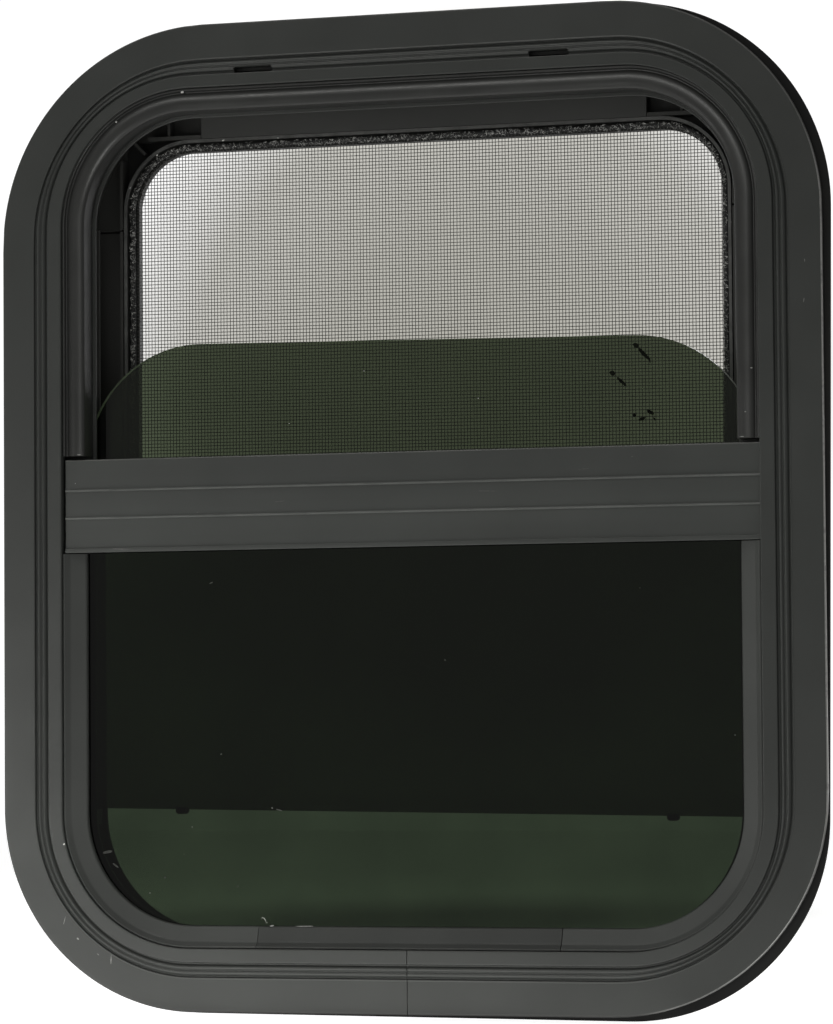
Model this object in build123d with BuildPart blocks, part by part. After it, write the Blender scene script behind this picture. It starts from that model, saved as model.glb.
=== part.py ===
# Caravan window with a drop sash, an insect screen and a fixed lower pane.
# Units: mm. +X right as seen from outside, +Y into the vehicle, +Z up.
# The origin is the centre of the window on the plane that seats on the wall.
import math
import os

from build123d import *

os.makedirs("parts", exist_ok=True)

# ---------------------------------------------------------------- driving sizes
WIDTH = 395.0            # overall flange width
HEIGHT = 460.0           # overall flange height
CORNER_R = 92.0          # corner radius that the frame section follows
EDGE_R = (101.0, 99.0, 101.5, 94.5)  # flange edge, drawn in at the bends: lower right, upper right, upper left, lower left

SEAL_T = 6.0             # wall seal behind the flange
FLANGE_T = 2.0           # flange thickness
BODY_DEPTH = 36.0        # frame body behind the wall plane
Y_FRONT = -(SEAL_T + FLANGE_T)

S_GROOVE_A = 16.6        # insets are measured from the flange edge
S_RIDGE_A = 17.9
S_RIDGE_B = 20.1
S_GROOVE_B = 22.2
S_BAND = 23.4
S_LIP = 29.2             # inner edge of the front band
RIDGE_H = 0.9
BAND_H = 0.4
GROOVE_W = 1.2
GROOVE_D = 0.8

S_WALL = 20.0            # body wall that passes through the cut-out
WALL_T = 2.0
S_MID = 42.0             # middle web, between fixed glass and sash channel
Y_MID = 5.0
MID_T = 1.5
S_REAR = 35.5            # rear web
REAR_T = 2.0

SEAL_PTS = ((197.9, -231.8, 92.0), (202.6, 229.0, 95.0), (-195.3, 228.8, 104.0), (-195.3, -229.8, 97.0))
# corners of the wall seal (X, Z, radius): it sits a little to the right and low
S_SEAL_IN = 17.0

GLASS_T = 4.0
Y_FIXED = 0.0            # front of the fixed pane
S_FIXED = 26.0
Z_FIXED_TOP = -6.0

BEAD_OUT = 29.4
BEAD_IN = 39.8
BEAD_SEAM_L = -72.7
BEAD_SEAM_R = 73.2

RAIL_X0, RAIL_X1 = -166.7, 167.7
RAIL_Z0, RAIL_Z1 = -16.0, 27.7
RAIL_Y0, RAIL_Y1 = -6.0, 4.9
RAIL_WALL = 1.8
RAIL_RIDGES = (13.3, 0.4)

BULB_OUT, BULB_IN = 29.4, 40.3       # bulb seal, a half-round with a straight back
BULB_FRONT, BULB_BACK = -7.4, 4.9
BULB_R_OUT, BULB_R_IN = 3.6, 6.4
BULB_GAP = 1.8           # gap between the seal ends and the rail

Y_SASH = 8.0             # front of the sliding pane
S_SASH = 34.5
SASH_Z0, SASH_Z1 = -138.0, 80.2
FOOT_X = (-112.8, 124.0)
FOOT_W = 4.8
SASH_TILT = 0.8          # the pane hangs a little crooked, left side up
SASH_LIFT = 2.28         # rise of the left lower corner, drop of the right

TRACK_Z0, TRACK_Z1 = -139.5, 138.0   # straight length of the jamb tracks
Y_GUIDE = 13.2           # rear guide of the sash channel
GUIDE_T = 1.2
S_GUIDE = 40.5

HEAD_X = 109.0           # head strip half length
Y_CORNER = 14.6
Y_HEAD = 24.0
S_UPSTAND = 48.4         # inner edge of the channel beside the screen
UPSTAND_T = 1.4
UPSTAND_TOP = 172.0
Y_CHANNEL = 30.4         # front of the channel floor
LEDGE_X = 136.0          # the head ledge runs on into the corner pieces
RIB_X = 125.6

SCREEN_X = 143.1         # screen opening
SCREEN_Z0, SCREEN_Z1 = 17.0, 175.2
SCREEN_R = 28.0
S_SCREEN = 32.6
Y_SCREEN_BASE = 32.0
Y_RIM = 24.0
Y_MESH = 29.0
MESH_T = 0.8

WEEP_X = 71.0
WEEP_L, WEEP_W = 19.0, 2.8
FRAME_SEAM_X = 0.8

HX, HZ = WIDTH / 2, HEIGHT / 2


# ---------------------------------------------------------------- helpers
def front_plane(y):
    """Plane facing the outside at depth y: local x is X, local y is Z."""
    return Plane(origin=(0, y, 0), x_dir=(1, 0, 0), z_dir=(0, -1, 0))


def ring(s0, s1, y0, y1, mode=Mode.ADD, r0=None, r1=None):
    """Ring between insets s0 and s1 and depths y0 and y1."""
    with BuildSketch(front_plane(y0)) as sk:
        radius = (CORNER_R - s0) if r0 is None else r0
        RectangleRounded(WIDTH - 2 * s0, HEIGHT - 2 * s0, radius)
        radius = (CORNER_R - s1) if r1 is None else r1
        RectangleRounded(WIDTH - 2 * s1, HEIGHT - 2 * s1, radius, mode=Mode.SUBTRACT)
    extrude(sk.sketch, amount=-(y1 - y0), mode=mode)


def nearest(vertices, x, z):
    """Sketch corner nearest to a place."""
    return min(vertices, key=lambda v: math.hypot(v.X - x, v.Y - z))


def flange(s1, y0, y1):
    """Flat ring from the flange edge, with its own radius at each corner, to inset s1."""
    with BuildSketch(front_plane(y0)) as sk:
        Rectangle(WIDTH, HEIGHT)
        for x, z, r in ((HX, -HZ, EDGE_R[0]), (HX, HZ, EDGE_R[1]), (-HX, HZ, EDGE_R[2]), (-HX, -HZ, EDGE_R[3])):
            fillet(nearest(sk.vertices(), x, z), r)
        RectangleRounded(WIDTH - 2 * s1, HEIGHT - 2 * s1, CORNER_R - s1, mode=Mode.SUBTRACT)
    extrude(sk.sketch, amount=-(y1 - y0))


def inset_of(p):
    """Inset of a point from the flange outline."""
    qx = abs(p.X) - (HX - CORNER_R)
    qz = abs(p.Z) - (HZ - CORNER_R)
    outside = math.hypot(max(qx, 0.0), max(qz, 0.0))
    return CORNER_R - outside - min(max(qx, qz), 0.0)


def loop(edges, s, y):
    """Edges of a ring that lie at inset s and depth y."""
    picked = []
    for e in edges:
        p = e @ 0.5
        if abs(inset_of(p) - s) < 0.1 and abs(p.Y - y) < 0.05 and abs((e @ 0).Y - y) < 0.05:
            picked.append(e)
    return picked


def block(x0, x1, y0, y1, z0, z1, mode=Mode.ADD):
    """Box given by its limits."""
    with Locations(((x0 + x1) / 2, (y0 + y1) / 2, (z0 + z1) / 2)):
        Box(x1 - x0, y1 - y0, z1 - z0, mode=mode)


def plate(x, z0, z1, r_top, r_low, y0, y1, mode=Mode.ADD):
    """Upright plate, symmetric about X, with its own corner radii."""
    with BuildSketch(front_plane(y0)) as sk:
        with Locations((0, (z0 + z1) / 2)):
            Rectangle(2 * x, z1 - z0)
        fillet(sk.vertices().group_by(Axis.Y)[-1], r_top)
        fillet(sk.vertices().group_by(Axis.Y)[0], r_low)
    extrude(sk.sketch, amount=-(y1 - y0), mode=mode)


def save(part, name):
    part.label = name
    export_step(part, "parts/" + name + ".step")


# ---------------------------------------------------------------- outer frame
with BuildPart() as outer_frame:
    flange(S_LIP, Y_FRONT, Y_FRONT + FLANGE_T)
    front = outer_frame.faces().sort_by(Axis.Y)[0]
    fillet(front.outer_wire().edges(), 1.2)
    ring(S_GROOVE_A, S_GROOVE_A + GROOVE_W, Y_FRONT, Y_FRONT + GROOVE_D, Mode.SUBTRACT)
    ring(S_RIDGE_A, S_RIDGE_A + 2.0, Y_FRONT - RIDGE_H, Y_FRONT)
    ring(S_RIDGE_B, S_RIDGE_B + 1.8, Y_FRONT - RIDGE_H, Y_FRONT)
    ring(S_GROOVE_B, S_GROOVE_B + GROOVE_W, Y_FRONT, Y_FRONT + GROOVE_D, Mode.SUBTRACT)
    ring(S_BAND, S_LIP, Y_FRONT - BAND_H, Y_FRONT)
    for s in (S_RIDGE_A, S_RIDGE_A + 2.0, S_RIDGE_B, S_RIDGE_B + 1.8):
        fillet(loop(outer_frame.edges(), s, Y_FRONT - RIDGE_H), 0.7)
    fillet(loop(outer_frame.edges(), S_LIP, Y_FRONT - BAND_H), 0.8)
    ring(S_WALL, S_WALL + WALL_T, Y_FRONT + FLANGE_T, BODY_DEPTH)
    ring(S_LIP - 1.5, S_LIP, Y_FRONT + FLANGE_T, Y_FRONT + FLANGE_T + 2.6)
    ring(S_WALL + WALL_T, S_MID, Y_MID, Y_MID + MID_T)
    ring(S_WALL + WALL_T, S_REAR, BODY_DEPTH - REAR_T, BODY_DEPTH)
    with BuildSketch(front_plane(Y_FRONT - 2.0)):
        with Locations((-WEEP_X, HZ - 22.4), (WEEP_X, HZ - 22.4)):
            SlotOverall(WEEP_L, WEEP_W)
    extrude(amount=-3.6, mode=Mode.SUBTRACT)
    block(FRAME_SEAM_X - 0.2, FRAME_SEAM_X + 0.2, Y_FRONT - 2.0, Y_FRONT + 0.6,
          -HZ - 1, -HZ + S_LIP + 1, Mode.SUBTRACT)
save(outer_frame.part, "outer_frame")

# joiner bar inside the frame, behind the butt seam
with BuildPart() as frame_splice:
    block(FRAME_SEAM_X - 35, FRAME_SEAM_X + 35, 8.0, 32.0,
          -HZ + S_WALL + WALL_T + 0.02, -HZ + S_WALL + WALL_T + 2.0)
save(frame_splice.part, "frame_splice")

# ---------------------------------------------------------------- wall seal
with BuildPart() as wall_seal:
    with BuildSketch(front_plane(-SEAL_T)) as sk:
        with BuildLine():
            Polyline(*[(x, z) for x, z, r in SEAL_PTS], close=True)
        make_face()
        for x, z, r in SEAL_PTS:
            fillet(nearest(sk.vertices(), x, z), r)
        RectangleRounded(WIDTH - 2 * S_SEAL_IN, HEIGHT - 2 * S_SEAL_IN, CORNER_R - S_SEAL_IN, mode=Mode.SUBTRACT)
    extrude(sk.sketch, amount=-SEAL_T)
save(wall_seal.part, "wall_seal")

# ---------------------------------------------------------------- fixed lower pane
with BuildPart() as fixed_glass:
    plate(HX - S_FIXED, -HZ + S_FIXED, Z_FIXED_TOP, 2.0, CORNER_R - S_FIXED,
          Y_FIXED, Y_FIXED + GLASS_T)
save(fixed_glass.part, "fixed_glass")

# flat tape between the pane and the middle web
with BuildPart() as glazing_tape:
    ring(S_LIP, BEAD_IN - 0.3, Y_FIXED + GLASS_T, Y_MID)
    block(-HX, HX, -10, 20, RAIL_Z0 - 0.3, HZ, Mode.SUBTRACT)
save(glazing_tape.part, "glazing_tape")

# rubber blocks that carry the pane
for side, name in ((-1, "setting_block_left"), (1, "setting_block_right")):
    with BuildPart() as setting_block:
        block(side * 70 - 15, side * 70 + 15, -0.5, 4.5,
              -HZ + S_WALL + WALL_T, -HZ + S_FIXED)
    save(setting_block.part, name)

# glazing bead: wedge section running round the lower pane
BEAD_PTS = ((BEAD_OUT, -7.3), (BEAD_OUT + 1.2, -7.3), (BEAD_IN - 0.2, -1.2),
            (BEAD_IN, -0.8), (BEAD_IN, 0.0), (BEAD_OUT, 0.0))
BEAD_S = (BEAD_OUT + BEAD_IN) / 2
BEAD_R = CORNER_R - BEAD_S


def bead_corner(side, x_end, name):
    """Bead from the rail down the jamb and round the corner to x_end."""
    x_side = side * (HX - BEAD_S)
    x_arc = side * (HX - CORNER_R)
    z_top = RAIL_Z0 - 0.4
    z_arc = -HZ + CORNER_R
    z_low = -HZ + BEAD_S
    with BuildPart() as bead:
        with BuildLine(front_plane(0)) as path:
            Line((x_side, z_top), (x_side, z_arc))
            if side < 0:
                CenterArc((x_arc, z_arc), BEAD_R, 180, 90)
            else:
                CenterArc((x_arc, z_arc), BEAD_R, 0, -90)
            Line((x_arc, z_low), (x_end, z_low))
        start = Plane(origin=(x_side, 0, z_top), x_dir=(-side, 0, 0), z_dir=(0, 0, -1))
        flip = 1 if side > 0 else -1
        with BuildSketch(start):
            with BuildLine():
                Polyline(*[(s - BEAD_S, flip * y) for s, y in BEAD_PTS], close=True)
            make_face()
        sweep(path=path.wires()[0])
    save(bead.part, name)


bead_corner(-1, BEAD_SEAM_L - 0.15, "glazing_bead_left")
bead_corner(1, BEAD_SEAM_R + 0.15, "glazing_bead_right")

with BuildPart() as bead_bottom:
    with BuildSketch(Plane(origin=(BEAD_SEAM_L + 0.15, 0, 0), x_dir=(0, 1, 0), z_dir=(1, 0, 0))):
        with BuildLine():
            Polyline(*[(y, -HZ + s) for s, y in BEAD_PTS], close=True)
        make_face()
    extrude(amount=BEAD_SEAM_R - BEAD_SEAM_L - 0.3)
save(bead_bottom.part, "glazing_bead_bottom")

# ---------------------------------------------------------------- meeting rail
with BuildPart() as meeting_rail:
    block(RAIL_X0, RAIL_X1, RAIL_Y0, RAIL_Y1, RAIL_Z0, RAIL_Z1)
    fillet(meeting_rail.edges().filter_by(Axis.X).group_by(Axis.Z)[-1].sort_by(Axis.Y)[0:1], 1.5)
    block(RAIL_X0 - 1, RAIL_X1 + 1, RAIL_Y0 + RAIL_WALL, RAIL_Y1 - RAIL_WALL,
          -1.2, RAIL_Z1 - RAIL_WALL, Mode.SUBTRACT)
    block(RAIL_X0 - 1, RAIL_X1 + 1, RAIL_Y0 + RAIL_WALL, RAIL_Y1 - 0.7,
          RAIL_Z0 - 1, -3.0, Mode.SUBTRACT)
    for z in RAIL_RIDGES:
        block(RAIL_X0, RAIL_X1, RAIL_Y0 - 0.8, RAIL_Y0, z - 0.8, z + 0.8)
    block(RAIL_X0, RAIL_X1, RAIL_Y0 - 0.7, RAIL_Y0, RAIL_Z0, RAIL_Z0 + 2.0)
save(meeting_rail.part, "meeting_rail")

with BuildPart() as rail_gasket:
    block(-160, 160, RAIL_Y0 + RAIL_WALL, Y_FIXED, RAIL_Z0 + 0.6, RAIL_Z0 + 6.4)
save(rail_gasket.part, "rail_gasket")

with BuildPart() as rail_pile:
    block(-155, 155, RAIL_Y1, Y_SASH - 0.6, 16.0, 22.0)
save(rail_pile.part, "rail_pile")

# ---------------------------------------------------------------- upper bulb seal
with BuildPart() as bulb_seal:
    bulb_s = (BULB_OUT + BULB_IN) / 2
    bulb_y = (BULB_FRONT + BULB_BACK) / 2
    xs, zs, rs = HX - bulb_s, HZ - bulb_s, CORNER_R - bulb_s
    xa, za = HX - CORNER_R, HZ - CORNER_R
    z_end = RAIL_Z1 + BULB_GAP
    with BuildLine(front_plane(0)) as path:
        Line((-xs, z_end), (-xs, za))
        CenterArc((-xa, za), rs, 180, -90)
        Line((-xa, zs), (xa, zs))
        CenterArc((xa, za), rs, 90, -90)
        Line((xs, za), (xs, z_end))
    with BuildSketch(Plane(origin=(-xs, 0, z_end), x_dir=(1, 0, 0), z_dir=(0, 0, 1))) as section:
        with Locations((0, bulb_y)):
            Rectangle(BULB_IN - BULB_OUT, BULB_BACK - BULB_FRONT)
        front = section.vertices().group_by(Axis.Y)[0].sort_by(Axis.X)
        fillet(front[0], BULB_R_OUT)
        front = section.vertices().group_by(Axis.Y)[0].sort_by(Axis.X)
        fillet(front[-1], BULB_R_IN)
    sweep(path=path.wires()[0])
save(bulb_seal.part, "bulb_seal")

# ---------------------------------------------------------------- sash channel
for side, name in ((-1, "jamb_track_left"), (1, "jamb_track_right")):
    with BuildPart() as track:
        def xs_block(s0, s1, y0, y1, z0, z1):
            a, b = side * (HX - s0), side * (HX - s1)
            block(min(a, b), max(a, b), y0, y1, z0, z1)
        xs_block(30.4, 32.0, Y_MID + MID_T + 0.05, BODY_DEPTH - REAR_T - 0.05, TRACK_Z0 - 2.0, TRACK_Z1)
        xs_block(22.1, S_GUIDE, Y_GUIDE, Y_GUIDE + GUIDE_T, TRACK_Z0, TRACK_Z1)
        xs_block(22.4, 41.0, Y_MID + MID_T + 0.05, Y_GUIDE + GUIDE_T, TRACK_Z0 - 4.0, SASH_Z0 - side * SASH_LIFT - 0.45)
        xs_block(32.0, S_UPSTAND, Y_CHANNEL, Y_CHANNEL + 1.2, 1.0, TRACK_Z1)
        xs_block(S_UPSTAND - UPSTAND_T, S_UPSTAND, Y_HEAD, Y_CHANNEL + 1.2, 1.0, TRACK_Z1)
    save(track.part, name)

# moulded corner pieces of the channel: curved back, floor, upstand, ledge and ribs
for side, name in ((-1, "corner_block_left"), (1, "corner_block_right")):
    with BuildPart() as corner:
        x_up = HX - S_UPSTAND
        z_low = HZ - CORNER_R + 1.0
        z_ledge = HZ - 49.2

        def side_block(x0, x1, y0, y1, z0, z1, mode=Mode.ADD):
            block(min(side * x0, side * x1), max(side * x0, side * x1), y0, y1, z0, z1, mode)

        ring(30.4, 33.0, Y_CORNER, Y_CHANNEL + 1.2)
        ring(33.0, 62.0, Y_CHANNEL, Y_CHANNEL + 1.2, r1=1.0)
        side_block(HEAD_X + 0.3, HX + 1, -10, 60, z_low, HZ + 1, Mode.INTERSECT)
        side_block(0, x_up, Y_CHANNEL - 1, Y_CHANNEL + 2, z_low - 1, z_ledge, Mode.SUBTRACT)
        side_block(x_up, x_up + UPSTAND_T, Y_HEAD, Y_CHANNEL + 1.2, z_low, UPSTAND_TOP)
        side_block(HEAD_X + 0.3, LEDGE_X, Y_HEAD, Y_CHANNEL + 1.2, z_ledge, z_ledge + 1.8)
        side_block(RIB_X - 0.6, RIB_X + 0.6, Y_HEAD + 0.4, Y_CHANNEL + 1.2, z_ledge + 1.0, z_ledge + 13.0)
        with Locations(Location((side * 142.6, (Y_HEAD + 1.0 + Y_CHANNEL + 1.2) / 2, 179.4), (0, -side * 45, 0))):
            Box(13.0, Y_CHANNEL + 0.2 - Y_HEAD, 1.4)
    save(corner.part, name)

with BuildPart() as head_stop:
    block(-HEAD_X, HEAD_X, Y_HEAD, Y_HEAD + 1.8, HZ - 49.2, HZ - S_WALL - WALL_T - 0.15)
    block(-HEAD_X, HEAD_X, Y_HEAD, Y_SCREEN_BASE - 0.2, HZ - 49.2, HZ - 47.4)
save(head_stop.part, "head_stop")

# ---------------------------------------------------------------- sliding sash
with BuildPart() as sash_glass:
    plate(HX - S_SASH, SASH_Z0, SASH_Z1, CORNER_R - S_SASH, 2.0, Y_SASH, Y_SASH + GLASS_T)
hang = Axis((0, 0, (SASH_Z0 + SASH_Z1) / 2), (0, 1, 0))
save(sash_glass.part.rotate(hang, SASH_TILT), "sash_glass")

for x_foot, name in zip(FOOT_X, ("sash_foot_left", "sash_foot_right")):
    with BuildPart() as foot:
        block(x_foot - FOOT_W / 2, x_foot + FOOT_W / 2,
              Y_SASH - 0.7, Y_SASH + GLASS_T + 0.7, SASH_Z0 - 2.2, SASH_Z0 + 1.0)
        fillet(foot.edges().filter_by(Axis.Y).group_by(Axis.Z)[0], 1.6)
        block(x_foot - FOOT_W, x_foot + FOOT_W,
              Y_SASH, Y_SASH + GLASS_T, SASH_Z0, SASH_Z0 + 10, Mode.SUBTRACT)
    save(foot.part.rotate(hang, SASH_TILT), name)

# ---------------------------------------------------------------- insect screen


def screen_plate(k, y0, y1, mode=Mode.ADD):
    """Plate with the outline of the screen opening grown by k."""
    plate(SCREEN_X + k, SCREEN_Z0 - k, SCREEN_Z1 + k, SCREEN_R + k, 4.0 + k, y0, y1, mode)


with BuildPart() as screen_frame:
    plate(HX - S_SCREEN, 0.0, HZ - S_SCREEN, CORNER_R - S_SCREEN, 6.0,
          Y_SCREEN_BASE, BODY_DEPTH - REAR_T)
    screen_plate(5.4, Y_RIM, Y_SCREEN_BASE)
    screen_plate(3.9, Y_RIM, Y_MESH + MESH_T, Mode.SUBTRACT)
    screen_plate(0.0, Y_MESH, BODY_DEPTH, Mode.SUBTRACT)
save(screen_frame.part, "screen_frame")

with BuildPart() as screen_mesh:
    screen_plate(3.6, Y_MESH, Y_MESH + MESH_T)
save(screen_mesh.part, "screen_mesh")

with BuildPart() as screen_spline:
    screen_plate(3.4, Y_MESH - 2.6, Y_MESH)
    screen_plate(0.9, Y_MESH - 2.6, Y_MESH, Mode.SUBTRACT)
save(screen_spline.part, "screen_spline")
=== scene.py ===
import math
import random

import bmesh
import bpy
from mathutils import Matrix, Vector


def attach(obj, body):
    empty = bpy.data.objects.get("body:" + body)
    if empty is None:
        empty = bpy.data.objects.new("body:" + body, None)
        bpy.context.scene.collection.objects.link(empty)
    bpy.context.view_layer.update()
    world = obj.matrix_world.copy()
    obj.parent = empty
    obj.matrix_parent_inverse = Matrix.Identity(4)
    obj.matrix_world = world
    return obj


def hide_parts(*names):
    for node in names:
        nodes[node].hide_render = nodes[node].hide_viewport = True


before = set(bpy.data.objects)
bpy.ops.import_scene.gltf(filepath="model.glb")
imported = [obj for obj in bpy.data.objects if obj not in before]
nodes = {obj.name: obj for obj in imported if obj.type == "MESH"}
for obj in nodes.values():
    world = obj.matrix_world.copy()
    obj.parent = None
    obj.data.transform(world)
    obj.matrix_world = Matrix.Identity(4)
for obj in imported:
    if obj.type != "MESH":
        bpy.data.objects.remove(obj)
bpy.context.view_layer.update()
MM = 0.001

# ------------------------------------------------------------------ sizes (mm), as in the CAD
HX, HZ, CR = 197.5, 230.0, 92.0
S_LIP = 29.5
SEAL_PTS = ((196.6, -232.4, 92.0), (202.6, 229.0, 95.0), (-195.3, 228.8, 104.0), (-195.3, -229.8, 97.0))
EDGE_R = (101.0, 99.0, 101.5, 94.5)  # flange edge at the bends: lower right, upper right, upper left, lower left
RAIL_X0, RAIL_X1, RAIL_Z0, RAIL_Z1 = -166.7, 167.7, -16.0, 27.7
SCREEN_X, SCREEN_Z0, SCREEN_Z1, SCREEN_R = 143.1, 17.0, 175.2, 28.0
Y_MESH = 29.0


# ------------------------------------------------------------------ node helpers
def new_mat(name):
    m = bpy.data.materials.new(name)
    m.use_nodes = True
    t = m.node_tree
    t.nodes.clear()
    out = t.nodes.new("ShaderNodeOutputMaterial")
    b = t.nodes.new("ShaderNodeBsdfPrincipled")
    t.links.new(b.outputs[0], out.inputs[0])
    return m, t, b


def coords(t, scale=(1, 1, 1)):
    c = t.nodes.new("ShaderNodeTexCoord")
    mp = t.nodes.new("ShaderNodeMapping")
    mp.inputs["Scale"].default_value = scale
    t.links.new(c.outputs["Object"], mp.inputs["Vector"])
    return mp.outputs["Vector"]


def noise(t, vec, scale, detail=3.0, rough=0.55):
    n = t.nodes.new("ShaderNodeTexNoise")
    n.inputs["Scale"].default_value = scale
    n.inputs["Detail"].default_value = detail
    n.inputs["Roughness"].default_value = rough
    t.links.new(vec, n.inputs["Vector"])
    return n.outputs["Fac"]


def ramp(t, fac, stops):
    r = t.nodes.new("ShaderNodeValToRGB")
    els = r.color_ramp.elements
    while len(els) < len(stops):
        els.new(0.5)
    for e, (p, c) in zip(els, stops):
        e.position = p
        e.color = (c, c, c, 1) if not isinstance(c, tuple) else (*c, 1)
    t.links.new(fac, r.inputs["Fac"])
    return r.outputs["Color"]


def mix(t, fac, a, b):
    m = t.nodes.new("ShaderNodeMix")
    m.data_type = "RGBA"
    for sock, v in (("Factor", fac), ("A", a), ("B", b)):
        i = [s for s in m.inputs if s.name == sock and s.enabled][0]
        if hasattr(v, "is_output"):
            t.links.new(v, i)
        elif sock == "Factor":
            i.default_value = v
        else:
            i.default_value = (*v, 1)
    return [o for o in m.outputs if o.enabled][0]


def math_node(t, op, a, b=None, clamp=False):
    m = t.nodes.new("ShaderNodeMath")
    m.operation = op
    m.use_clamp = clamp
    for k, v in ((0, a), (1, b)):
        if v is None:
            continue
        if hasattr(v, "is_output"):
            t.links.new(v, m.inputs[k])
        else:
            m.inputs[k].default_value = v
    return m.outputs[0]


def specks(t, vec, scale, size, amount):
    """White factor for scattered dust grains: size is the grain radius in cells, amount the share of cells with one."""
    v = t.nodes.new("ShaderNodeTexVoronoi")
    v.inputs["Scale"].default_value = scale
    t.links.new(vec, v.inputs["Vector"])
    sep = t.nodes.new("ShaderNodeSeparateColor")
    t.links.new(v.outputs["Color"], sep.inputs[0])
    keep = math_node(t, "LESS_THAN", sep.outputs[0], amount)
    r = math_node(t, "MULTIPLY", sep.outputs[1], size)
    near = math_node(t, "LESS_THAN", v.outputs["Distance"], r)
    return math_node(t, "MULTIPLY", keep, near)


def bump(t, b, height, strength, dist):
    n = t.nodes.new("ShaderNodeBump")
    n.inputs["Strength"].default_value = strength
    n.inputs["Distance"].default_value = dist
    t.links.new(height, n.inputs["Height"])
    t.links.new(n.outputs[0], b.inputs["Normal"])


RAIL_HIGHLIGHT_LINES = (0.01325, 0.00025)  # raised lines of the rail, painted lighter as a highlight along them


def coated(name, dark, light, rough, dust=0.02, grain=2600.0, grain_h=0.00002, spec=0.5, streak=None, rubbed_highlight_top=None):
    """Black coating or rubber: cloudy tone, fine grain, a little dust; optionally a painted highlight along the top
    edge and the raised lines.
    """
    m, t, b = new_mat(name)
    vec = coords(t)
    cloud = noise(t, vec, 9.0, 4.0, 0.6)
    tone = ramp(t, cloud, [(0.3, dark), (0.72, light)])
    if streak:
        sv = coords(t, streak)
        st = ramp(t, noise(t, sv, 60.0, 3.0, 0.6), [(0.35, 0.0), (0.75, 0.22)])
        tone = mix(t, st, tone, tuple(min(1.0, c * 1.9) for c in light))
    # painted highlight: the top edge and the raised lines are painted lighter, broken into patches like wear
    if rubbed_highlight_top:
        sep = t.nodes.new("ShaderNodeSeparateXYZ")
        t.links.new(vec, sep.inputs[0])
        top = ramp(t, math_node(t, "MULTIPLY", sep.outputs[2], 1.0 / rubbed_highlight_top), [(0.972, 0.0), (0.990, 1.0)])
        wear = ramp(t, noise(t, coords(t, (0.25, 1, 1)), 120.0, 4.0, 0.7), [(0.30, 0.25), (0.60, 1.0)])
        tone = mix(t, math_node(t, "MULTIPLY", top, wear), tone, (0.10, 0.10, 0.097))
        for z0 in RAIL_HIGHLIGHT_LINES:
            away = math_node(t, "MULTIPLY", math_node(t, "ABSOLUTE", math_node(t, "SUBTRACT", sep.outputs[2], z0)), 1000.0)
            line = ramp(t, away, [(0.35, 1.0), (0.65, 0.0)])
            tone = mix(t, math_node(t, "MULTIPLY", line, wear), tone, (0.088, 0.093, 0.088))
    fine = specks(t, vec, 210.0, 0.055, dust)
    coarse = specks(t, vec, 55.0, 0.022, dust * 2.2)
    d = math_node(t, "MAXIMUM", fine, coarse)
    d = math_node(t, "MULTIPLY", d, 0.75)
    col = mix(t, d, tone, (0.42, 0.42, 0.41))
    t.links.new(col, b.inputs["Base Color"])
    rg = noise(t, vec, 46.0, 5.0, 0.6)
    t.links.new(ramp(t, rg, [(0.25, rough - 0.06), (0.75, rough + 0.07)]), b.inputs["Roughness"])
    b.inputs["Specular IOR Level"].default_value = spec
    bump(t, b, noise(t, vec, grain, 2.0, 0.5), 0.35, grain_h)
    return m


M_FRAME = coated("frame_coat", (0.024, 0.0257, 0.0240), (0.032, 0.0343, 0.0320), 0.40, 0.03)
M_RAIL = coated("rail_coat", (0.0288, 0.0310, 0.0290), (0.039, 0.0420, 0.0393), 0.42, 0.02, streak=(0.02, 1, 1), rubbed_highlight_top=0.0277)
M_SEAL = coated("wall_seal_rubber", (0.006, 0.006, 0.006), (0.014, 0.014, 0.0135), 0.78, 0.06, 900.0, 0.00008, 0.18)
M_BULB = coated("bulb_rubber", (0.009, 0.0092, 0.0088), (0.0145, 0.0147, 0.0141), 0.33, 0.03, 1500.0, 0.00002, 0.4)
M_BEAD = coated("bead_rubber", (0.026, 0.0277, 0.0260), (0.040, 0.0425, 0.0400), 0.52, 0.05, 1700.0, 0.00003, 0.45)
M_INSERT = coated("bead_insert_rubber", (0.019, 0.0202, 0.0190), (0.030, 0.0319, 0.0299), 0.52, 0.05, 1700.0, 0.00003, 0.4)
M_TRACK = coated("track_plastic", (0.028, 0.028, 0.0265), (0.046, 0.046, 0.043), 0.5, 0.05, 1500.0, 0.00003, 0.4)
M_HEAD = coated("head_plastic", (0.036, 0.0365, 0.035), (0.049, 0.0495, 0.047), 0.5, 0.03, 1500.0, 0.00003, 0.4)
M_FOOT = coated("foot_rubber", (0.006, 0.006, 0.006), (0.011, 0.011, 0.011), 0.7, 0.01, 900.0, 0.00005, 0.3)


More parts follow.
